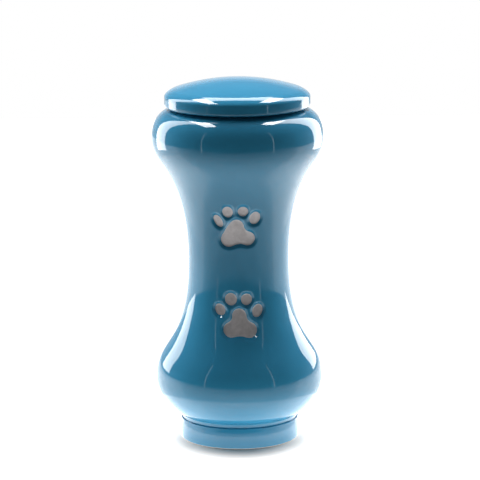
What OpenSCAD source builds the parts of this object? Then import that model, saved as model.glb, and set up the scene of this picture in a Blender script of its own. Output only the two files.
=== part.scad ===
// Glazed ceramic pet urn: a waisted vessel with two sunk paw prints on its
// front and a loose, gently domed lid. Millimetres, +Z up, standing on z = 0,
// the prints face -Y.

/* [Foot] */
// Widest diameter of the foot ring
foot_d = 89; // [86:0.5:108]
// Height of the foot ring up to its rounded ledge
foot_h = 15.5; // [12:0.5:24]
// How far the foot wall swells between its top and its bottom
foot_swell = 0.8; // [0:0.1:1.5]
// Radius of the foot's rounded edges
foot_edge_r = 1.5; // [0.5:0.1:2]
// Diameter of the groove between the foot and the lower bulge
groove_d = 85.5; // [80:0.5:88]
// Height of that groove
groove_h = 3.5; // [2.5:0.5:6]
// Width of the flat, unglazed ring that the urn stands on
stand_ring_w = 6.5; // [4:0.5:10]
// Depth of the hollow in the underside, inside the standing ring
recess_h = 3; // [1:0.5:5]

/* [Body] */
// Diameter of the lower bulge
low_bulge_d = 125; // [104:0.5:150]
// Rise from the groove to the widest part of the lower bulge
low_bulge_rise = 27.5; // [22:0.5:34]
// Diameter of the waist
waist_d = 75; // [62:0.5:90]
// Rise from the lower bulge to the waist
waist_rise = 88.5; // [73:0.5:108]
// Diameter of the upper bulge
up_bulge_d = 127; // [112:0.5:153]
// Rise from the waist to the widest part of the upper bulge
up_bulge_rise = 91; // [75:0.5:110]
// Rise from the upper bulge to the seat of the lid
shoulder_rise = 23.5; // [19:0.5:29]

/* [Curves] */
// Length of the flat start of the curve under the lower bulge
under_reach = 9; // [4:0.5:12]
// Slope of that start, in degrees above level
under_slope = 10; // [4:1:20]
// Roundness under the lower bulge, as a share of its rise
under_fullness = 0.47; // [0.3:0.01:0.6]
// Roundness above the lower bulge, as a share of the rise to the waist
low_fullness = 0.32; // [0.2:0.01:0.45]
// How slowly the waist opens, as a share of the rise above and below it
waist_fullness = 0.74; // [0.5:0.01:0.8]
// Roundness below the upper bulge, as a share of the rise from the waist
up_fullness = 0.24; // [0.15:0.01:0.4]
// Roundness above the upper bulge, as a share of the shoulder's rise
shoulder_fullness = 0.81; // [0.5:0.01:0.9]
// Length of the flat start of the shoulder beside the seat
shoulder_reach = 8.5; // [4:0.5:12]
// Fall of the shoulder beside the seat, in degrees below level
shoulder_slope = 12; // [5:1:20]

/* [Wall and mouth] */
// Thickness of the cast wall
wall = 5; // [4:0.5:6]
// Thickness of the floor above the hollow underside
floor_t = 6; // [4:0.5:8]
// Radius between the floor and the wall, inside
floor_fillet = 6; // [2:0.5:8]
// Diameter of the mouth
mouth_d = 76; // [62:0.5:80]
// Width of the flat seat around the mouth, which carries the lid
seat_w = 6; // [4:0.5:8]

/* [Lid] */
// Diameter of the lid
lid_d = 107.5; // [98:0.5:128]
// Thickness of the lid at its rim
lid_rim_h = 13; // [10:0.5:15]
// Breadth of the sloping edge round the lid's top
lid_top_edge_w = 7; // [4:0.5:9]
// Height of that edge
lid_top_edge_h = 5.5; // [3:0.5:7]
// How full that edge is, from a flat bevel to a round
lid_top_edge_fullness = 0.35; // [0.1:0.05:0.6]
// Radius of the rim's lower edge
lid_low_edge_r = 2; // [1:0.5:4]
// Rise of the dome above the rim
dome_rise = 7.5; // [4:0.5:12]
// Fullness of the dome; 2 is a parabola, more is flatter in the middle
dome_fullness = 2; // [1.5:0.1:3]
// Thickness of the lid under the dome
lid_wall = 7; // [5:0.5:9]
// Depth of the ring that keeps the lid over the mouth
ring_h = 8; // [5:0.5:12]
// Thickness of that ring
ring_t = 5; // [4:0.5:7]
// Gap between the ring and the mouth, on each side
ring_gap = 1.2; // [0.8:0.1:2]

/* [Paw prints] */
// Depth of the prints below the wall
paw_depth = 1.8; // [0.8:0.1:2.5]
// Width of each print
paw_w = 35; // [28:0.5:42]
// Height of the upper print's pad above the waist
upper_paw_rise = 25; // [22:0.5:40]
// Depth of the lower print's pad below the waist
lower_paw_drop = 41; // [34:0.5:50]
// Radius that blends the lobes of a pad into each other
pad_web_r = 5; // [1:0.5:6]

/* [Hidden] */
$fn = 96;
GLAZE = [0.13, 0.42, 0.58];

// Steps along each long curve, each short curve and each rounded edge
LONG_STEPS = 24;
SHORT_STEPS = 14;
EDGE_STEPS = 6;
TOE_SIDES = 28;
PAD_SIDES = 36;
EPS = 0.01;

// Heights of the stations, from the ground up
groove_z = foot_h + groove_h;
low_bulge_z = groove_z + low_bulge_rise;
waist_z = low_bulge_z + waist_rise;
up_bulge_z = waist_z + up_bulge_rise;
seat_z = up_bulge_z + shoulder_rise;
floor_z = recess_h + floor_t;

// Radii of the stations
foot_r = foot_d / 2;
groove_r = groove_d / 2;
mouth_r = mouth_d / 2;
seat_r = mouth_r + seat_w;
lid_r = lid_d / 2;
crown_r = lid_r - lid_top_edge_w;
foot_base_r = foot_r - foot_swell;
recess_r = foot_base_r - foot_edge_r - stand_ring_w;
cellar_r = groove_r - wall;
ring_r = mouth_r - ring_gap;

// The size that the patterns below are drawn at
PAW_PATTERN_W = 35;
paw_scale = paw_w / PAW_PATTERN_W;

// Each print: [centre of its pad, toes, lobes of its pad].
// A toe is [across, up, width, height, lean in degrees], a lobe [across, up, radius].
UPPER_PAW = [
    [-0.5, waist_z + upper_paw_rise],
    [[-14, 10.5, 6, 10.5, 30], [-7.2, 17.7, 8, 8.8, 15],
     [4, 18.1, 8, 7.8, 0], [12.5, 12.8, 8, 10.2, -20]],
    [[-0.8, 6.9, 5.2], [-6.7, -3.4, 5.7], [7.3, -2.7, 5.4], [-0.4, 0, 6.6],
     [-3.9, 2, 5.2]]
];
LOWER_PAW = [
    [0.6, waist_z - lower_paw_drop],
    [[-14.2, 10.3, 7.5, 9.2, 25], [-6.4, 18.1, 9.1, 9.6, 15],
     [5, 17.9, 8.5, 8.9, -10], [13, 9.3, 7.8, 10.1, -15]],
    [[-0.4, 6.3, 5.3], [-6.6, -3.8, 5.6], [7.2, -4.2, 5.6], [0.2, -1.4, 6.8]]
];

// Point and direction at share t of a cubic curve through four control points
function curve_point(c, t) =
    pow(1 - t, 3) * c[0] + 3 * pow(1 - t, 2) * t * c[1]
    + 3 * (1 - t) * t * t * c[2] + pow(t, 3) * c[3];
function curve_way(c, t) =
    pow(1 - t, 2) * (c[1] - c[0]) + 2 * (1 - t) * t * (c[2] - c[1])
    + t * t * (c[3] - c[2]);

// Points along a curve, moved inwards (to the left of its way) by an inset
function trace(c, steps, inset) =
    [for (i = [0:steps])
        let (t = i / steps, way = curve_way(c, t))
        curve_point(c, t) + inset * [-way.y, way.x] / norm(way)];

// Points on an arc of a circle, from one angle to another
function arc(centre, r, from, to, steps) =
    [for (i = [0:steps])
        let (a = from + (to - from) * i / steps)
        centre + r * [cos(a), sin(a)]];

// Control points of the four curves of the wall, from the groove to the seat
UNDER_CURVE = [
    [groove_r, groove_z],
    [groove_r, groove_z] + under_reach * [cos(under_slope), sin(under_slope)],
    [low_bulge_d / 2, low_bulge_z - under_fullness * low_bulge_rise],
    [low_bulge_d / 2, low_bulge_z]
];
LOW_CURVE = [
    [low_bulge_d / 2, low_bulge_z],
    [low_bulge_d / 2, low_bulge_z + low_fullness * waist_rise],
    [waist_d / 2, waist_z - waist_fullness * waist_rise],
    [waist_d / 2, waist_z]
];
UP_CURVE = [
    [waist_d / 2, waist_z],
    [waist_d / 2, waist_z + waist_fullness * up_bulge_rise],
    [up_bulge_d / 2, up_bulge_z - up_fullness * up_bulge_rise],
    [up_bulge_d / 2, up_bulge_z]
];
SHOULDER_CURVE = [
    [up_bulge_d / 2, up_bulge_z],
    [up_bulge_d / 2, up_bulge_z + shoulder_fullness * shoulder_rise],
    [seat_r, seat_z] + shoulder_reach * [cos(shoulder_slope), -sin(shoulder_slope)],
    [seat_r, seat_z]
];

// The wall's outline from the groove to the seat, moved inwards by an inset
function wall_line(inset) = concat(
    trace(UNDER_CURVE, SHORT_STEPS, inset),
    drop_first(trace(LOW_CURVE, LONG_STEPS, inset)),
    drop_first(trace(UP_CURVE, LONG_STEPS, inset)),
    drop_first(trace(SHOULDER_CURVE, SHORT_STEPS, inset))
);
function drop_first(points) = [for (i = [1:len(points) - 1]) points[i]];

// The swelling wall of the foot between its rounded edges
function foot_wall_r(z) = foot_r - foot_swell * pow(2 * z / foot_h - 1, 2);
function foot_line() =
    let (low_z = foot_edge_r, high_z = foot_h - foot_edge_r)
    concat(
        arc([foot_wall_r(low_z) - foot_edge_r, low_z], foot_edge_r, -90, 0, EDGE_STEPS),
        [for (i = [1:EDGE_STEPS - 1])
            let (z = low_z + (high_z - low_z) * i / EDGE_STEPS)
            [foot_wall_r(z), z]],
        arc([foot_wall_r(high_z) - foot_edge_r, high_z], foot_edge_r, 0, 80, EDGE_STEPS)
    );

module solid_vessel() {
    rotate_extrude()
        polygon(concat([[0, 0]], foot_line(), [[groove_r, foot_h]], wall_line(0), [[0, seat_z]]));
}

// The space inside: the cellar in the foot, the bulges and waist, and the mouth
module hollow() {
    inner = wall_line(wall);
    corner_z = inner[0].y - (inner[0].x - cellar_r) * tan(under_slope);
    rotate_extrude()
        polygon(concat(
            [[0, floor_z]],
            arc([cellar_r - floor_fillet, floor_z + floor_fillet], floor_fillet, -90, 0, EDGE_STEPS),
            [[cellar_r, corner_z]],
            inner,
            [[mouth_r, inner[len(inner) - 1].y], [mouth_r, seat_z + EPS], [0, seat_z + EPS]]
        ));
}

module underside_recess() {
    translate([0, 0, -EPS])
        cylinder(h = recess_h + EPS, r = recess_r);
}

// The vessel's core, as far inside the wall as the prints are deep
module print_floor() {
    rotate_extrude()
        polygon(concat(wall_line(paw_depth), [[0, seat_z], [0, groove_z]]));
}

module toe_outline(w, h) {
    polygon([for (i = [0:TOE_SIDES - 1])
        let (a = 360 * i / TOE_SIDES)
        [w / 2 * cos(a), h / 2 * sin(a)]]);
}

module pad_outline(lobes) {
    offset(r = -pad_web_r, $fn = PAD_SIDES)
        offset(r = pad_web_r, $fn = PAD_SIDES)
            for (lobe = lobes)
                translate([lobe[0], lobe[1]])
                    circle(r = lobe[2], $fn = PAD_SIDES);
}

module paw_outline(paw) {
    for (toe = paw[1])
        translate([toe[0], toe[1]])
            rotate(toe[4])
                toe_outline(toe[2], toe[3]);
    pad_outline(paw[2]);
}

// What one print sinks out of the front of the wall
module paw_print(paw) {
    difference() {
        translate([paw[0].x, 0, paw[0].y])
            rotate([90, 0, 0])
                linear_extrude(up_bulge_d)
                    scale(paw_scale)
                        paw_outline(paw);
        print_floor();
    }
}

module urn_body() {
    color(GLAZE)
        difference() {
            solid_vessel();
            hollow();
            underside_recess();
            paw_print(UPPER_PAW);
            paw_print(LOWER_PAW);
        }
}

// Height of the lid's top face at a radius: a shallow dome
function dome_z(r) =
    let (share = min(1, r / crown_r))
    seat_z + lid_rim_h + dome_rise * (1 - pow(share, dome_fullness));

module lid() {
    well_r = ring_r - ring_t;
    low_edge = arc([lid_r - lid_low_edge_r, seat_z + lid_low_edge_r],
                   lid_low_edge_r, -90, 0, EDGE_STEPS);
    // The edge leaves the rim upright and meets the dome at the dome's own slope
    rim_z = seat_z + lid_rim_h;
    side_z = rim_z - lid_top_edge_h;
    reach = lid_top_edge_fullness * lid_top_edge_w;
    slope = dome_fullness * dome_rise / crown_r;
    edge_curve = [[lid_r, side_z],
                  [lid_r, side_z + lid_top_edge_fullness * lid_top_edge_h],
                  [crown_r + reach, rim_z - reach * slope], [crown_r, rim_z]];
    top_edge = trace(edge_curve, EDGE_STEPS, 0);
    crown = [for (i = [1:SHORT_STEPS])
        let (r = crown_r * (1 - i / SHORT_STEPS))
        [r, dome_z(r)]];
    well = [for (i = [0:SHORT_STEPS])
        let (r = well_r * i / SHORT_STEPS)
        [r, dome_z(r) - lid_wall]];
    ring = [[well_r, seat_z - ring_h], [ring_r, seat_z - ring_h], [ring_r, seat_z]];
    color(GLAZE)
        rotate_extrude()
            polygon(concat(well, ring, low_edge, top_edge, crown));
}

urn_body();
lid();
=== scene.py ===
"""A glazed ceramic pet urn: its finished surfaces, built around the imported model.

The sizes below are millimetres and repeat the model's own outline, except that the
prints are a little deeper and the foot's top edge is crisper. What the frame can tell,
such as the height of the seat and the width of the lid, is read from it.
"""
import math

import bpy
import numpy as np
from mathutils import Matrix, Vector


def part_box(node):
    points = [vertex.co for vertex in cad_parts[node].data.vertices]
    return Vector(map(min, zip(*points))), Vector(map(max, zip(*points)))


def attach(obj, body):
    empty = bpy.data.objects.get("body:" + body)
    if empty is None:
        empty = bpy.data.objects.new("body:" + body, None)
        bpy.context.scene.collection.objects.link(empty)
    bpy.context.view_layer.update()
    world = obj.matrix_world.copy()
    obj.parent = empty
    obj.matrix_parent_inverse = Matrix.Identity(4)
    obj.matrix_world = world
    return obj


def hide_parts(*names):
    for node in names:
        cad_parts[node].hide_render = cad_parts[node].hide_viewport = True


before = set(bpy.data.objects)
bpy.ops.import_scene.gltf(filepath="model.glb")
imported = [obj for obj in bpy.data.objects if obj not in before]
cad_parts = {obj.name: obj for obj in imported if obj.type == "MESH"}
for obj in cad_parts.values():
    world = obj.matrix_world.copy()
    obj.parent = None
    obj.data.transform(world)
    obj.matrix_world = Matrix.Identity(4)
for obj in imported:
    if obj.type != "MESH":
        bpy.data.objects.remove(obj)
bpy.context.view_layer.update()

MM = 0.001

# ---------------------------------------------------------------- driving sizes
body_low, body_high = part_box("urn_body")
lid_low, lid_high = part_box("lid")

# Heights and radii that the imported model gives
SEAT_Z = body_high.z / MM
LID_TOP_Z = lid_high.z / MM
RING_LOW_Z = lid_low.z / MM
UP_BULGE_R = (body_high.x - body_low.x) / 2 / MM
LID_R = (lid_high.x - lid_low.x) / 2 / MM

# Foot
FOOT_R = 44.5
FOOT_H = 15.5
FOOT_SWELL = 0.8
FOOT_EDGE_R = 1.5
FOOT_TOP_EDGE_R = 0.3
GROOVE_R = 42.75
GROOVE_H = 3.5
STAND_RING_W = 6.5
RECESS_H = 3.0
RECESS_BEND_R = 1.5
STAND_EDGE_R = 0.5
GROOVE_BEND_R = 0.6
GROOVE_BEND_RISE = 0.75
# Where on the foot's lower edge the glaze stops, in degrees below level
GLAZE_STOP = -45.0

# Bulges and waist
LOW_BULGE_R = 62.5
LOW_BULGE_RISE = 27.5
WAIST_R = 37.5
WAIST_RISE = 88.5
UP_BULGE_RISE = 91.0
GROOVE_Z = FOOT_H + GROOVE_H
LOW_BULGE_Z = GROOVE_Z + LOW_BULGE_RISE
WAIST_Z = LOW_BULGE_Z + WAIST_RISE
UP_BULGE_Z = WAIST_Z + UP_BULGE_RISE
SHOULDER_RISE = SEAT_Z - UP_BULGE_Z

# Shares and slopes that round the wall's curves
UNDER_REACH = 9.0
UNDER_SLOPE = 10.0
UNDER_FULLNESS = 0.47
LOW_FULLNESS = 0.32
WAIST_FULLNESS = 0.74
UP_FULLNESS = 0.24
SHOULDER_FULLNESS = 0.81
SHOULDER_REACH = 8.5
SHOULDER_SLOPE = 12.0

# Wall, floor and mouth
WALL = 5.0
FLOOR_Z = 9.0
FLOOR_FILLET = 6.0
MOUTH_R = 38.0
SEAT_R = 44.0
SEAT_EDGE_R = 0.8

# Lid
LID_RIM_H = 13.0
LID_RIM_Z = SEAT_Z + LID_RIM_H
LID_TOP_EDGE_W = 7.0
LID_TOP_EDGE_H = 5.5
LID_TOP_EDGE_FULLNESS = 0.35
LID_LOW_EDGE_R = 2.0
DOME_FULLNESS = 2.0
CROWN_R = LID_R - LID_TOP_EDGE_W
LID_WALL = 7.0
RING_R = 36.8
RING_T = 5.0
RING_EDGE_R = 1.0
RING_ROOT_R = 0.5
WELL_BEND_R = 1.5
LID_SEAT_W = 7.5

# Prints: depth, and how far their rounded lip runs outside and inside the outline
PRINT_DEPTH = 2.1
LIP_OUT = 2.4
LIP_IN = 1.2

# How widely a pad's lobes, and the toes, blend into what they come near
PAD_WEB = 4.0
TOE_WEB = 1.5

# Each print: [centre of its pad, toes, lobes of its pad].
# A toe is (across, up, width, height, lean in degrees), a lobe (across, up, radius).
UPPER_PAW = [
    (-0.5, WAIST_Z + 25.0),
    [(-14, 10.5, 6, 10.5, 30), (-7.2, 17.7, 8, 8.8, 15),
     (4, 18.1, 8, 7.8, 0), (12.5, 12.8, 8, 10.2, -20)],
    [(-0.8, 6.9, 5.2), (-6.7, -3.4, 5.7), (7.3, -2.7, 5.4), (-3.9, 2, 5.2),
     (-0.4, 0, 6.6)],
]
LOWER_PAW = [
    (0.6, WAIST_Z - 41.0),
    [(-14.2, 10.3, 7.5, 9.2, 25), (-6.4, 18.1, 9.1, 9.6, 15),
     (5, 17.9, 8.5, 8.9, -10), (13, 9.3, 7.8, 10.1, -15)],
    [(-0.4, 6.3, 5.3), (-6.6, -3.8, 5.6), (7.2, -4.2, 5.6), (0.2, -1.4, 6.8)],
]
PAWS = [UPPER_PAW, LOWER_PAW]

# How far the finely meshed wall reaches above and below a pad's centre, and how far
# it reaches to either side of the front, in degrees
PAW_REACH_UP = 26.0
PAW_REACH_DOWN = 13.0
PAW_REACH_TURN = 33

# Steps of the meshes, fine and plain: along the wall in millimetres, and around it
# in degrees
FINE_STEP = 0.42
PLAIN_STEP = 1.7
INNER_STEP = 5.0
FINE_TURN = 0.6
PLAIN_TURN = 3.2

# Silver skin: how far inside the outline it starts, how thick it is and how deep it roots
SKIN_START = 0.15
SKIN_THICKNESS = 0.07
SKIN_ROOT = 0.25

# Its edge: how wide it takes to rise, and how far below the glaze it begins
SKIN_EDGE_W = 0.35
SKIN_EDGE_SINK = 0.02

# Its mesh: points around, rings from the middle out, and how they crowd to the edge
SKIN_AROUND = 96
SKIN_RINGS = 24
SKIN_CROWDING = 1.7

# Radiance of the side lights and of the table, where 1 is white in the picture, and
# where the table's glow, a painted light, starts and is full, around a painted shadow that falls a
# little forward
SOFT_RADIANCE = 6.5
GLOW = 1.35
GLOW_START = 22.0
GLOW_END = 80.0
SHADE_AHEAD = 16.0

# Places of the lights: distances from the axis, and the heights the side lights span
SIDE_DISTANCE = 520
SIDE_LOW_Z = 68
SIDE_HIGH_Z = 1600
TOP_Z = 1150
STRIP_DISTANCE = 900
STRIP_SIZE = (18, 900)
STRIP_RADIANCE = 2.4

# Half the width and depth of the table
TABLE_REACH = 1500

# Dark cards on the table in front, a painted shade: how dark they are at distances from the axis
NEAR_FLAG = [(50, 0), (75, 0.25), (110, 0.35), (240, 0.45), (420, 0)]
FAR_FLAG = [(180, 0), (420, 0.68), (700, 0.77), (1000, 0.96), (1500, 1)]

# Camera
CAMERA_DISTANCE = 2177.0
CAMERA_HEIGHT = 590.0
CAMERA_ASIDE = 1.2
CAMERA_LENS = 224.6
CAMERA_ROLL = -0.45
AIM_Z = 148.85


# ------------------------------------------------------------- outlines (r, z)
def arc(centre, radius, start, end, steps=8):
    """Points on an arc of a circle, from one angle to another, in degrees."""
    angles = np.radians(np.linspace(start, end, steps + 1))
    return np.stack([centre[0] + radius * np.cos(angles),
                     centre[1] + radius * np.sin(angles)], axis=1)


def cubic(points, steps=200):
    """Points along a cubic curve through four control points."""
    p = np.array(points, float)
    t = np.linspace(0, 1, steps + 1)[:, None]
    return ((1 - t) ** 3 * p[0] + 3 * (1 - t) ** 2 * t * p[1]
            + 3 * (1 - t) * t ** 2 * p[2] + t ** 3 * p[3])


def polar(length, degrees):
    return np.array([length * math.cos(math.radians(degrees)),
                     length * math.sin(math.radians(degrees))])


def wall_line():
    """The wall's outer outline from the groove to the edge of the seat."""
    groove = np.array([GROOVE_R, GROOVE_Z])
    seat = np.array([SEAT_R, SEAT_Z])
    under = cubic([groove, groove + polar(UNDER_REACH, UNDER_SLOPE),
                   (LOW_BULGE_R, LOW_BULGE_Z - UNDER_FULLNESS * LOW_BULGE_RISE),
                   (LOW_BULGE_R, LOW_BULGE_Z)])
    low = cubic([(LOW_BULGE_R, LOW_BULGE_Z),
                 (LOW_BULGE_R, LOW_BULGE_Z + LOW_FULLNESS * WAIST_RISE),
                 (WAIST_R, WAIST_Z - WAIST_FULLNESS * WAIST_RISE),
                 (WAIST_R, WAIST_Z)])
    up = cubic([(WAIST_R, WAIST_Z),
                (WAIST_R, WAIST_Z + WAIST_FULLNESS * UP_BULGE_RISE),
                (UP_BULGE_R, UP_BULGE_Z - UP_FULLNESS * UP_BULGE_RISE),
                (UP_BULGE_R, UP_BULGE_Z)])
    shoulder = cubic([(UP_BULGE_R, UP_BULGE_Z),
                      (UP_BULGE_R, UP_BULGE_Z + SHOULDER_FULLNESS * SHOULDER_RISE),
                      seat + polar(SHOULDER_REACH, -SHOULDER_SLOPE), seat])
    return np.concatenate([under, low[1:], up[1:], shoulder[1:]])


def inset(line, depth):
    """The outline moved inwards, to the left of its way."""
    way = np.gradient(line, axis=0)
    way /= np.linalg.norm(way, axis=1)[:, None]
    return line + depth * np.stack([-way[:, 1], way[:, 0]], axis=1)


def spaced(line, step_at):
    """The outline again, with points as far apart as step_at says at each height."""
    length = np.linalg.norm(np.diff(line, axis=0), axis=1)
    middle = (line[1:, 1] + line[:-1, 1]) / 2
    effort = np.concatenate([[0], np.cumsum(length / step_at(middle))])
    marks = np.linspace(0, effort[-1], int(math.ceil(effort[-1])) + 1)
    return np.stack([np.interp(marks, effort, line[:, i]) for i in (0, 1)], axis=1)


def even(line, step):
    return spaced(line, lambda z: np.full_like(z, step))


def wall_step(z):
    """Fine steps across the prints, easing out to plain ones above and below."""
    step = np.full_like(z, PLAIN_STEP)
    for (_, centre_z), _, _ in PAWS:
        above = np.clip(z - centre_z - PAW_REACH_UP, 0, None)
        below = np.clip(centre_z - PAW_REACH_DOWN - z, 0, None)
        step = np.minimum(step, FINE_STEP + 0.25 * (above + below))
    return step


WALL_LINE = wall_line()
INNER_LINE = inset(WALL_LINE, WALL)
SMOOTH_WALL = spaced(WALL_LINE, wall_step)


def foot_wall_r(z):
    return FOOT_R - FOOT_SWELL * (2 * z / FOOT_H - 1) ** 2


def foot_line():
    """The foot's wall above its bare lower edge, up into the groove."""
    low_z = FOOT_EDGE_R
    edge = arc((foot_wall_r(low_z) - FOOT_EDGE_R, low_z), FOOT_EDGE_R, GLAZE_STOP, 0, 4)
    high_z = FOOT_H - FOOT_TOP_EDGE_R
    heights = np.linspace(low_z, high_z, 7)
    wall = np.stack([foot_wall_r(heights), heights], axis=1)
    top = arc((foot_wall_r(high_z) - FOOT_TOP_EDGE_R, high_z), FOOT_TOP_EDGE_R, 0, 80)
    centre = (GROOVE_R + GROOVE_BEND_R, FOOT_H + GROOVE_BEND_RISE)
    hollow = arc(centre, GROOVE_BEND_R, 220, 180, 3)
    return np.concatenate([edge, wall[1:], top[1:], hollow])


def recess_radius():
    return foot_wall_r(0) - FOOT_EDGE_R - STAND_RING_W


def underside_line():
    """From the middle of the hollow underside to just inside the standing ring."""
    recess_r = recess_radius()
    bend_r = recess_r - RECESS_BEND_R
    radii = np.linspace(0, bend_r, 12)
    ceiling = np.stack([radii, np.full_like(radii, RECESS_H)], axis=1)
    bend = arc((bend_r, RECESS_H - RECESS_BEND_R), RECESS_BEND_R, 90, 0, 5)
    edge = arc((recess_r + STAND_EDGE_R, STAND_EDGE_R), STAND_EDGE_R, 180, 270, 4)
    return np.concatenate([ceiling, bend[1:], edge[:-1]])


def stand_ring_line():
    """The bare ring that the urn stands on, out and up to where the glaze stops."""
    inner = np.array([[recess_radius() + STAND_EDGE_R, 0]])
    centre = (foot_wall_r(FOOT_EDGE_R) - FOOT_EDGE_R, FOOT_EDGE_R)
    return np.concatenate([inner, arc(centre, FOOT_EDGE_R, -90, GLAZE_STOP, 5)])


def seat_line():
    """The bare seat that carries the lid."""
    radii = np.linspace(SEAT_R - SEAT_EDGE_R, MOUTH_R + SEAT_EDGE_R, 5)
    return np.stack([radii, np.full_like(radii, SEAT_Z)], axis=1)


def inside_line():
    """From the mouth's edge down the inner wall to the middle of the floor."""
    lip = arc((MOUTH_R + SEAT_EDGE_R, SEAT_Z - SEAT_EDGE_R), SEAT_EDGE_R, 90, 180, 4)
    wall = even(INNER_LINE[::-1], INNER_STEP)
    wall = wall[(wall[:, 1] < UP_BULGE_Z) | (wall[:, 0] > MOUTH_R + 0.5)]
    cellar_r = GROOVE_R - WALL
    corner = arc((cellar_r - FLOOR_FILLET, FLOOR_Z + FLOOR_FILLET),
                 FLOOR_FILLET, 0, -90, 6)
    radii = np.linspace(cellar_r - FLOOR_FILLET, 0, 8)[1:]
    floor = np.stack([radii, np.full_like(radii, FLOOR_Z)], axis=1)
    throat = np.array([[MOUTH_R, wall[0, 1] + 0.4]])
    return np.concatenate([lip, throat, wall, corner, floor])


def dome_z(r):
    """Height of the lid's top face at a radius: a shallow dome."""
    share = np.minimum(1, r / CROWN_R)
    return LID_RIM_Z + (LID_TOP_Z - LID_RIM_Z) * (1 - share ** DOME_FULLNESS)


def lid_under_line():
    """Lid: from the middle of its well, round the ring, to its lower edge."""
    well_r = RING_R - RING_T
    bend_r = well_r - WELL_BEND_R
    radii = np.linspace(0, bend_r, 14)
    well = np.stack([radii, dome_z(radii) - LID_WALL], axis=1)
    top_z = well[-1, 1]
    bend = arc((bend_r, top_z - WELL_BEND_R), WELL_BEND_R, 90, 0, 4)
    edge_z = RING_LOW_Z + RING_EDGE_R
    inner = arc((well_r + RING_EDGE_R, edge_z), RING_EDGE_R, 180, 270, 4)
    outer = arc((RING_R - RING_EDGE_R, edge_z), RING_EDGE_R, -90, 0, 4)
    crook = arc((RING_R + RING_ROOT_R, SEAT_Z - RING_ROOT_R), RING_ROOT_R, 180, 90, 3)
    return np.concatenate([well, bend[1:], inner, outer, crook])


def lid_rim_line():
    """Lid: its glazed rim and dome, from the lower edge to the middle."""
    flat = np.array([[MOUTH_R + LID_SEAT_W, SEAT_Z], [LID_R - LID_LOW_EDGE_R - 1, SEAT_Z]])
    low = arc((LID_R - LID_LOW_EDGE_R, SEAT_Z + LID_LOW_EDGE_R), LID_LOW_EDGE_R, -90, 0, 10)
    side_z = LID_RIM_Z - LID_TOP_EDGE_H
    heights = np.linspace(SEAT_Z + LID_LOW_EDGE_R, side_z, 5)
    side = np.stack([np.full_like(heights, LID_R), heights], axis=1)
    reach = LID_TOP_EDGE_FULLNESS * LID_TOP_EDGE_W
    slope = DOME_FULLNESS * (LID_TOP_Z - LID_RIM_Z) / CROWN_R
    edge = cubic([(LID_R, side_z), (LID_R, side_z + LID_TOP_EDGE_FULLNESS * LID_TOP_EDGE_H),
                  (CROWN_R + reach, LID_RIM_Z - reach * slope), (CROWN_R, LID_RIM_Z)], 24)
    radii = np.linspace(CROWN_R, 0, 40)[1:]
    crown = np.stack([radii, dome_z(radii)], axis=1)
    return np.concatenate([flat, low, side[1:], edge[1:], crown])


# ------------------------------------------------------------- prints' outlines
def toe_distance(x, z, toe):
    """Signed distance to a toe's leaning ellipse, negative inside."""
    across, up, width, height, lean = toe
    turn = math.radians(lean)
    dx = x - across
    dz = z - up
    a = dx * math.cos(turn) + dz * math.sin(turn)
    b = -dx * math.sin(turn) + dz * math.cos(turn)
    near = np.hypot(a / (width / 2), b / (height / 2))
    steep = np.hypot(a / (width / 2) ** 2, b / (height / 2) ** 2)
    return near * (near - 1) / np.maximum(steep, 1e-6)


def blended(first, second, reach):
    """The union of two distances, with a web in the hollow between them."""
    close = np.clip(reach - np.abs(first - second), 0, None) / reach
    return np.minimum(first, second) - close ** 2 * reach / 4


def pad_distance(x, z, lobes):
    """Signed distance to a pad, whose lobes run into each other."""
    distance = None
    for across, up, radius in lobes:
        lobe = np.hypot(x - across, z - up) - radius
        distance = lobe if distance is None else blended(distance, lobe, PAD_WEB)
    return distance


def paw_distance(x, z, paw):
    """Signed distance to a whole print, at a place on the front of the urn."""
    (centre_x, centre_z), toes, lobes = paw
    dx = x - centre_x
    dz = z - centre_z
    distance = pad_distance(dx, dz, lobes)
    for toe in toes:
        distance = blended(distance, toe_distance(dx, dz, toe), TOE_WEB)
    return distance


def sunk_depth(distance):
    """How deep the glaze lies at a distance from a print's outline."""
    share = np.clip((LIP_OUT - distance) / (LIP_OUT + LIP_IN), 0, 1)
    return PRINT_DEPTH * (1 - np.cos(np.pi * share)) / 2


def wall_radius(z):
    return np.interp(z, WALL_LINE[:, 1], WALL_LINE[:, 0])


def wall_slope(z):
    """How much the wall's radius grows over a millimetre of height."""
    return wall_radius(z + 0.5) - wall_radius(z - 0.5)


def front_y(x, z, height):
    """Y of the front wall at a place, raised by a height along its normal."""
    radius = wall_radius(z)
    y = -np.sqrt(radius ** 2 - x ** 2)
    facing = -y / radius / np.sqrt(1 + wall_slope(z) ** 2)
    return y - height / facing


# ----------------------------------------------------------------------- meshes
def object_from(name, points, faces, materials=(), face_materials=None):
    """A smooth-shaded object from points in millimetres."""
    mesh = bpy.data.meshes.new(name)
    mesh.from_pydata((np.asarray(points) * MM).tolist(), [], faces)
    mesh.polygons.foreach_set("use_smooth", [True] * len(mesh.polygons))
    for material in materials:
        mesh.materials.append(material)
    if face_materials is not None:
        mesh.polygons.foreach_set("material_index", face_materials)
    mesh.validate()
    mesh.update()
    made = bpy.data.objects.new(name, mesh)
    bpy.context.scene.collection.objects.link(made)
    return made


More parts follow.
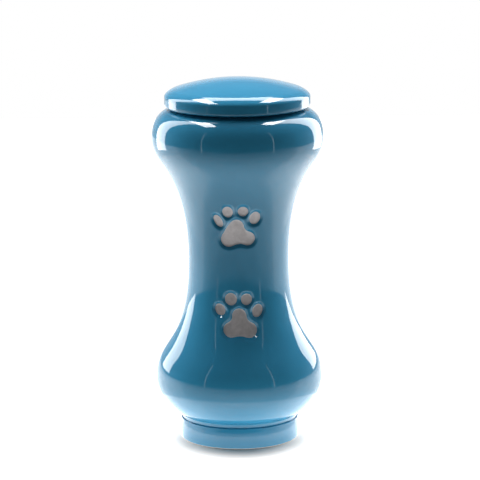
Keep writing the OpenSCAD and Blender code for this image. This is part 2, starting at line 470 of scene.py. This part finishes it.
def turned(lines, turns, shift=None):
    """Points, faces and each face's line number of a closed turned form.

    The lines follow each other from one middle to the other. What shift is given,
    and gives back, are the x, y and z of the points, in a row for each step of a line.
    """
    kind = np.concatenate([np.full(len(line), i) for i, line in enumerate(lines)])
    line = np.concatenate(lines)
    keep = np.concatenate([[True], np.linalg.norm(np.diff(line, axis=0), axis=1) > 1e-4])
    line = line[keep]
    kind = kind[keep]
    body = line[1:-1]
    x = body[:, 0, None] * np.sin(turns)[None]
    y = -body[:, 0, None] * np.cos(turns)[None]
    z = np.repeat(body[:, 1, None], len(turns), axis=1)
    if shift is not None:
        x, y, z = shift(x, y, z)
    points = np.stack([x, y, z], axis=2).reshape(-1, 3)
    start = [0, 0, line[0, 1]]
    end = [0, 0, line[-1, 1]]
    count = len(turns)
    rows = len(body)
    faces = []
    numbers = []
    for row in range(rows - 1):
        for column in range(count):
            after = (column + 1) % count
            a = row * count + column
            b = row * count + after
            faces.append((a, b, b + count, a + count))
            numbers.append(int(kind[row + 1]))
    first = rows * count
    last = first + 1
    for column in range(count):
        after = (column + 1) % count
        faces.append((first, after, column))
        numbers.append(int(kind[0]))
        low = (rows - 1) * count
        faces.append((last, low + column, low + after))
        numbers.append(int(kind[-1]))
    return np.concatenate([points, [start, end]]), faces, numbers


def fine_turns(reach):
    """Angles around the urn, from the front: fine within the reach, then plain."""
    half = [0.0]
    step = FINE_TURN
    while half[-1] < 180 - PLAIN_TURN * 0.7:
        if half[-1] > reach:
            step = min(PLAIN_TURN, step * 1.2)
        half.append(half[-1] + step)
    half = np.array(half)
    far = half > reach
    half[far] = reach + (half[far] - reach) * (180 - reach) / (half[-1] - reach)
    turns = np.concatenate([half, -half[1:-1][::-1]])
    return np.radians(turns)


def uneven(x, y, z):
    """Slow waves of a hand-finished cast wall, in millimetres."""
    turn = np.arctan2(x, -y)
    return (0.05 * np.sin(2 * turn + z / 31 + 0.6) + 0.04 * np.sin(3 * turn - z / 23 + 2.1)
            + 0.03 * np.sin(5 * turn + z / 17 + 4.0))


def print_depth(x, y, z):
    """Depth of the prints at points of the wall, zero behind."""
    depth = np.zeros_like(x)
    for paw in PAWS:
        depth = np.maximum(depth, sunk_depth(paw_distance(x, z, paw)))
    return np.where((y < 0) & (np.hypot(x, y) > WAIST_R - 1), depth, 0)


def shape_wall(x, y, z):
    """Sinks the prints and adds the wall's slow waves."""
    outside = np.hypot(x, y) > np.interp(z, INNER_LINE[:, 1], INNER_LINE[:, 0]) + 1
    wall = outside & (z > GROOVE_Z + 4) & (z < SEAT_Z - 4)
    depth = np.where(wall, print_depth(x, y, z), 0)
    radius = np.hypot(x, y)
    facing = np.maximum(-y / np.maximum(radius, 1) / np.sqrt(1 + wall_slope(z) ** 2), 0.3)
    swell = np.where(wall, uneven(x, y, z), 0)
    share = swell / np.maximum(radius, 1)
    return x * (1 + share), y * (1 + share) + depth / facing, z


def uneven_lid(x, y, z):
    """Slow waves of the lid's rim and crown."""
    turn = np.arctan2(x, -y)
    radius = np.hypot(x, y)
    wave = np.where(z > SEAT_Z + 1, 0.05 * np.sin(3 * turn + 0.9) + 0.04 * np.sin(5 * turn + 2.2), 0)
    share = np.clip(radius / LID_R, 0, 1) ** 2
    return x, y, z + wave * share


# -------------------------------------------------------------------- materials
def new_material(name):
    material = bpy.data.materials.new(name)
    material.use_nodes = True
    tree = material.node_tree
    shader = tree.nodes["Principled BSDF"]
    return material, tree, shader


def noise(tree, scale, detail, roughness):
    """Noise over the object's own place, in features per metre."""
    place = tree.nodes.new("ShaderNodeTexCoord")
    node = tree.nodes.new("ShaderNodeTexNoise")
    node.inputs["Scale"].default_value = scale
    node.inputs["Detail"].default_value = detail
    node.inputs["Roughness"].default_value = roughness
    tree.links.new(place.outputs["Object"], node.inputs["Vector"])
    return node.outputs["Fac"]


def ramp(tree, factor, stops):
    """Values between stops of (place, colour)."""
    node = tree.nodes.new("ShaderNodeValToRGB")
    elements = node.color_ramp.elements
    while len(elements) < len(stops):
        elements.new(0.5)
    for element, (place, colour) in zip(elements, stops):
        element.position = place
        element.color = (*colour, 1)
    tree.links.new(factor, node.inputs["Fac"])
    return node.outputs["Color"]


def spread(tree, factor, low, high):
    """The factor spread over a range of values."""
    node = tree.nodes.new("ShaderNodeMapRange")
    node.inputs["To Min"].default_value = low
    node.inputs["To Max"].default_value = high
    tree.links.new(factor, node.inputs["Value"])
    return node.outputs["Result"]


def mixed(tree, factor, first, second):
    """Two colours mixed by a factor."""
    node = tree.nodes.new("ShaderNodeMix")
    node.data_type = "RGBA"
    tree.links.new(factor, node.inputs["Factor"])
    for socket, colour in ((node.inputs["A"], first), (node.inputs["B"], second)):
        if isinstance(colour, tuple):
            socket.default_value = (*colour, 1)
        else:
            tree.links.new(colour, socket)
    return node.outputs["Result"]


def bump(tree, shader, height, distance):
    """Gives the shader a relief from a height, this many metres deep."""
    node = tree.nodes.new("ShaderNodeBump")
    node.inputs["Strength"].default_value = 1.0
    node.inputs["Distance"].default_value = distance
    tree.links.new(height, node.inputs["Height"])
    tree.links.new(node.outputs["Normal"], shader.inputs["Normal"])


def glaze_material(name, deep, thin):
    """Glossy blue glaze: slightly paler where it ran thin, with a faint skin."""
    material, tree, shader = new_material(name)
    clouds = noise(tree, 18, 4, 0.55)
    specks = noise(tree, 900, 2, 0.6)
    body = ramp(tree, clouds, [(0.3, deep), (0.75, thin)])
    speck = ramp(tree, specks, [(0.70, (0, 0, 0)), (0.78, (1, 1, 1))])
    fleck = tuple(0.75 * channel for channel in deep)
    tree.links.new(mixed(tree, speck, body, fleck), shader.inputs["Base Color"])
    tree.links.new(spread(tree, clouds, 0.025, 0.06), shader.inputs["Roughness"])
    shader.inputs["IOR"].default_value = 1.5
    bump(tree, shader, noise(tree, 120, 2, 0.4), 0.00003)
    return material


def lustre_material():
    """Silver lustre: satin metal, mottled where the brush left it thin."""
    material, tree, shader = new_material("silver_lustre")
    patches = noise(tree, 260, 4, 0.6)
    colour = ramp(tree, patches, [(0.3, (0.37, 0.36, 0.37)), (0.7, (0.48, 0.47, 0.48))])
    tree.links.new(colour, shader.inputs["Base Color"])
    tree.links.new(spread(tree, patches, 0.58, 0.44), shader.inputs["Roughness"])
    shader.inputs["Metallic"].default_value = 0.4
    bump(tree, shader, noise(tree, 700, 3, 0.5), 0.00006)
    return material


def clay_material():
    """Bare fired clay: pale, matt and slightly gritty."""
    material, tree, shader = new_material("bare_clay")
    grains = noise(tree, 1500, 4, 0.7)
    colour = ramp(tree, grains, [(0.3, (0.62, 0.57, 0.50)), (0.7, (0.80, 0.76, 0.69))])
    tree.links.new(colour, shader.inputs["Base Color"])
    tree.links.new(spread(tree, grains, 0.75, 0.95), shader.inputs["Roughness"])
    bump(tree, shader, grains, 0.0001)
    return material


# ----------------------------------------------------------------------- pieces
def make_urn_body(glaze, clay):
    """The vessel in one piece, with both prints sunk into its front."""
    seat_edge = arc((SEAT_R - SEAT_EDGE_R, SEAT_Z - SEAT_EDGE_R), SEAT_EDGE_R, 80, 90, 2)
    lines = [underside_line(), stand_ring_line(), foot_line(),
             np.concatenate([SMOOTH_WALL[:-1], seat_edge]), seat_line(), inside_line()]
    of_clay = [False, True, False, False, True, True]
    points, faces, numbers = turned(lines, fine_turns(PAW_REACH_TURN), shape_wall)
    indices = [int(of_clay[number]) for number in numbers]
    body = object_from("urn_body_glazed", points, faces, [glaze, clay], indices)
    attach(body, "root")
    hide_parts("urn_body")
    return body


def make_lid(glaze, clay):
    """The loose lid, with the ring under it that keeps it over the mouth."""
    lines = [lid_under_line(), lid_rim_line()]
    turns = np.radians(np.arange(0, 360, 2.0))
    points, faces, numbers = turned(lines, turns, uneven_lid)
    indices = [int(number == 0) for number in numbers]
    lid = object_from("lid_glazed", points, faces, [glaze, clay], indices)
    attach(lid, "root")
    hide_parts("lid")
    return lid


def skin_patch(centre, distance_at, paw):
    """A closed thin skin over one toe or pad of a print: its points and faces."""
    paw_centre = paw[0]
    shares = 1 - (1 - np.linspace(0, 1, SKIN_RINGS + 1)[1:]) ** SKIN_CROWDING
    angles = np.linspace(0, 2 * np.pi, SKIN_AROUND, endpoint=False)
    way = np.stack([np.cos(angles), np.sin(angles)], axis=1)
    near = np.zeros(SKIN_AROUND)
    far = np.full(SKIN_AROUND, 16.0)
    for _ in range(30):
        middle = (near + far) / 2
        spot = centre + way * middle[:, None]
        outside = distance_at(spot[:, 0], spot[:, 1]) > -SKIN_START
        far = np.where(outside, middle, far)
        near = np.where(outside, near, middle)
    flat = [centre + way * (near * share)[:, None] for share in shares]
    flat = np.concatenate([[centre], np.concatenate(flat)])
    distance = distance_at(flat[:, 0], flat[:, 1])
    rise = np.clip((-SKIN_START - distance) / SKIN_EDGE_W, 0, 1)
    x = flat[:, 0] + paw_centre[0]
    z = flat[:, 1] + paw_centre[1]
    height = uneven(x, front_y(x, z, 0), z) - sunk_depth(paw_distance(x, z, paw))
    lift = (SKIN_THICKNESS + SKIN_EDGE_SINK) * rise
    top = front_y(x, z, height - SKIN_EDGE_SINK + lift)
    under = front_y(x, z, height - SKIN_ROOT)
    points = np.concatenate([np.stack([x, top, z], axis=1), np.stack([x, under, z], axis=1)])
    back = len(flat)
    faces = []
    for column in range(SKIN_AROUND):
        after = (column + 1) % SKIN_AROUND
        faces.append((0, 1 + column, 1 + after))
        faces.append((back, back + 1 + after, back + 1 + column))
        for ring in range(SKIN_RINGS - 1):
            a = 1 + ring * SKIN_AROUND + column
            b = 1 + ring * SKIN_AROUND + after
            faces.append((a, a + SKIN_AROUND, b + SKIN_AROUND, b))
            faces.append((back + a, back + b, back + b + SKIN_AROUND, back + a + SKIN_AROUND))
        a = 1 + (SKIN_RINGS - 1) * SKIN_AROUND + column
        b = 1 + (SKIN_RINGS - 1) * SKIN_AROUND + after
        faces.append((a, back + a, back + b, b))
    return points, faces


def make_paw_print(name, paw, lustre):
    """The silver lustre over one print's toes and pad."""
    _, toes, lobes = paw
    patches = [skin_patch(np.array(toe[:2], float),
                          lambda x, z, toe=toe: toe_distance(x, z, toe), paw)
               for toe in toes]
    patches.append(skin_patch(np.array(lobes[-1][:2], float),
                              lambda x, z: pad_distance(x, z, lobes), paw))
    points = []
    faces = []
    for patch_points, patch_faces in patches:
        offset = len(points)
        points.extend(patch_points.tolist())
        faces.extend([tuple(index + offset for index in face) for face in patch_faces])
    silver = object_from(name, points, faces, [lustre])
    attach(silver, "root")
    return silver


# ------------------------------------------------------- floor, light and camera
def make_floor():
    """A pale table that glows white, a painted light, except close around the foot, where the glow
    fades out as a painted shadow set a little forward.
    """
    left, right, front, back = -TABLE_REACH, TABLE_REACH, -TABLE_REACH, TABLE_REACH
    points = [(left, front, 0), (right, front, 0), (right, back, 0), (left, back, 0)]
    material, tree, shader = new_material("glowing_table_with_painted_shadow")
    shader.inputs["Base Color"].default_value = (0.55, 0.51, 0.47, 1)
    shader.inputs["Roughness"].default_value = 0.9
    place = tree.nodes.new("ShaderNodeTexCoord")
    # Distance from the middle of the painted shadow, a little in front of the axis
    length = tree.nodes.new("ShaderNodeVectorMath")
    length.operation = "DISTANCE"
    tree.links.new(place.outputs["Object"], length.inputs[0])
    length.inputs[1].default_value = (0, -SHADE_AHEAD * MM, 0)
    # Painted light from the table, faded out near the foot as a painted shadow
    glow = tree.nodes.new("ShaderNodeMapRange")
    glow.interpolation_type = "SMOOTHSTEP"
    glow.inputs["From Min"].default_value = GLOW_START * MM
    glow.inputs["From Max"].default_value = GLOW_END * MM
    glow.inputs["To Max"].default_value = GLOW
    tree.links.new(length.outputs["Value"], glow.inputs["Value"])
    shader.inputs["Emission Color"].default_value = (1, 1, 1, 1)
    tree.links.new(glow.outputs["Result"], shader.inputs["Emission Strength"])
    floor = object_from("floor", points, [(0, 1, 2, 3)], [material])
    return floor


def make_flag(name, height, fade):
    """A dark card over the table in front, out of the lens's sight: a painted shade on the table
    that only the glaze's reflections and bounce light see.

    The fade lists how dark it is at distances in front of the urn's axis.
    """
    left, right, front, back = -TABLE_REACH, TABLE_REACH, -fade[-1][0], -fade[0][0]
    points = [(left, front, height), (right, front, height),
              (right, back, height), (left, back, height)]
    material, tree, shader = new_material(name)
    shader.inputs["Base Color"].default_value = (0.02, 0.02, 0.02, 1)
    shader.inputs["Roughness"].default_value = 1.0
    place = tree.nodes.new("ShaderNodeTexCoord")
    split = tree.nodes.new("ShaderNodeSeparateXYZ")
    tree.links.new(place.outputs["Object"], split.inputs["Vector"])
    ahead = tree.nodes.new("ShaderNodeMapRange")
    ahead.inputs["From Min"].default_value = back * MM
    ahead.inputs["From Max"].default_value = front * MM
    tree.links.new(split.outputs["Y"], ahead.inputs["Value"])
    depth = front - back
    stops = [((-distance - back) / depth, (dark, dark, dark)) for distance, dark in fade]
    tree.links.new(ramp(tree, ahead.outputs["Result"], stops), shader.inputs["Alpha"])
    flag = object_from(name, points, [(0, 1, 2, 3)], [material])
    flag.visible_camera = False
    flag.visible_shadow = False
    return flag


def make_soft_light(name, place, aim, size, spin=0.0, radiance=SOFT_RADIANCE):
    """A rectangular soft light, aimed at a point and spun about its own axis."""
    data = bpy.data.lights.new(name, "AREA")
    data.shape = "RECTANGLE"
    data.size = size[0] * MM
    data.size_y = size[1] * MM
    data.energy = radiance * math.pi * data.size * data.size_y
    light = bpy.data.objects.new(name, data)
    light.location = Vector(place) * MM
    look = (Vector(aim) * MM - light.location).to_track_quat("-Z", "Y")
    light.rotation_mode = "QUATERNION"
    light.rotation_quaternion = look @ Matrix.Rotation(math.radians(spin), 4, "Z").to_quaternion()
    light.visible_camera = False
    bpy.context.scene.collection.objects.link(light)
    return light


def around(azimuth, distance, z):
    """A place at an angle from the front, seen from above, and a distance."""
    turn = math.radians(azimuth)
    return (distance * math.sin(turn), -distance * math.cos(turn), z)


def make_world():
    """White to the camera; to the glaze, a dim room that is darkest in front.

    Low down behind the urn the room is bright, as a white backdrop is.
    """
    world = bpy.data.worlds.new("studio")
    bpy.context.scene.world = world
    world.use_nodes = True
    tree = world.node_tree
    background = tree.nodes["Background"]
    background.inputs["Strength"].default_value = 1.0
    place = tree.nodes.new("ShaderNodeTexCoord")
    split = tree.nodes.new("ShaderNodeSeparateXYZ")
    tree.links.new(place.outputs["Generated"], split.inputs["Vector"])
    depth = tree.nodes.new("ShaderNodeMapRange")
    depth.inputs["From Min"].default_value = -1
    depth.inputs["From Max"].default_value = 1
    tree.links.new(split.outputs["Y"], depth.inputs["Value"])
    room = ramp(tree, depth.outputs["Result"],
                [(0.0, (0.02, 0.02, 0.02)), (0.3, (0.06, 0.06, 0.06)),
                 (0.5, (0.15, 0.15, 0.15)), (1.0, (0.3, 0.3, 0.3))])
    low_room = ramp(tree, depth.outputs["Result"],
                    [(0.0, (0.02, 0.02, 0.02)), (0.3, (0.06, 0.06, 0.06)),
                     (0.5, (0.15, 0.15, 0.15)), (1.0, (0.8, 0.8, 0.8))])
    rise = tree.nodes.new("ShaderNodeMapRange")
    rise.inputs["From Min"].default_value = 0.12
    rise.inputs["From Max"].default_value = 0.34
    tree.links.new(split.outputs["Z"], rise.inputs["Value"])
    blend = mixed(tree, rise.outputs["Result"], low_room, room)
    path = tree.nodes.new("ShaderNodeLightPath")
    seen = mixed(tree, path.outputs["Is Camera Ray"], blend, (1.0, 1.0, 1.0))
    tree.links.new(seen, background.inputs["Color"])


def make_lights():
    """Tall soft lights beside and behind the urn, and broad ones above it.

    In front are two faint strips, and a disc of light shines up around the foot.
    """
    middle = (SIDE_LOW_Z + SIDE_HIGH_Z) / 2
    for name, azimuth, width, spin in (("side_light_left", -120, 225, 0),
                                       ("side_light_right", 124, 265, 6)):
        make_soft_light(name, around(azimuth, SIDE_DISTANCE, middle), (0, 0, middle),
                        (width, SIDE_HIGH_Z - SIDE_LOW_Z), spin)
    for name, x, y, size, radiance in (("top_light", 0, 540, (600, 520), 8.0),
                                       ("top_light_left", -410, 200, (220, 760), 16.0),
                                       ("top_light_right", 410, 320, (220, 640), 16.0)):
        make_soft_light(name, (x, y, TOP_Z), (x, y, 0), size, 0, radiance)
    for name, azimuth in (("strip_left", -47), ("strip_right", 47)):
        middle = STRIP_SIZE[1] / 2
        make_soft_light(name, around(azimuth, STRIP_DISTANCE, middle), (0, 0, middle),
                        STRIP_SIZE, 0, STRIP_RADIANCE)
    glow = make_soft_light("foot_glow", (0, 0, 0.5), (0, 0, 100), (210, 210), 0, 1.2)
    glow.data.shape = "DISK"


def make_camera():
    """A long lens in front of the urn, a little above it."""
    data = bpy.data.cameras.new("camera")
    data.lens = CAMERA_LENS
    data.sensor_width = 36.0
    data.clip_start = 0.05
    data.clip_end = 50.0
    camera = bpy.data.objects.new("camera", data)
    camera.location = Vector((CAMERA_ASIDE, -CAMERA_DISTANCE, CAMERA_HEIGHT)) * MM
    aim = Vector((CAMERA_ASIDE, 0, AIM_Z)) * MM
    look = (aim - camera.location).to_track_quat("-Z", "Y")
    roll = Matrix.Rotation(math.radians(CAMERA_ROLL), 4, "Z").to_quaternion()
    camera.rotation_mode = "QUATERNION"
    camera.rotation_quaternion = look @ roll
    bpy.context.scene.collection.objects.link(camera)
    bpy.context.scene.camera = camera


make_camera()
make_world()
make_lights()
make_floor()
# Painted shade on the table in front, unseen by the lens
make_flag("near_flag", 1, NEAR_FLAG)
make_flag("far_flag", 2, FAR_FLAG)

deep_glaze = (0.020, 0.170, 0.300)
thin_glaze = (0.026, 0.200, 0.345)
body_glaze = glaze_material("blue_glaze", deep_glaze, thin_glaze)
lid_glaze = glaze_material("lid_glaze", deep_glaze, thin_glaze)
bare_clay = clay_material()
silver = lustre_material()

make_urn_body(body_glaze, bare_clay)
make_lid(lid_glaze, bare_clay)
make_paw_print("paw_print_upper", UPPER_PAW, silver)
make_paw_print("paw_print_lower", LOWER_PAW, silver)

bpy.context.scene.view_settings.view_transform = "Standard"
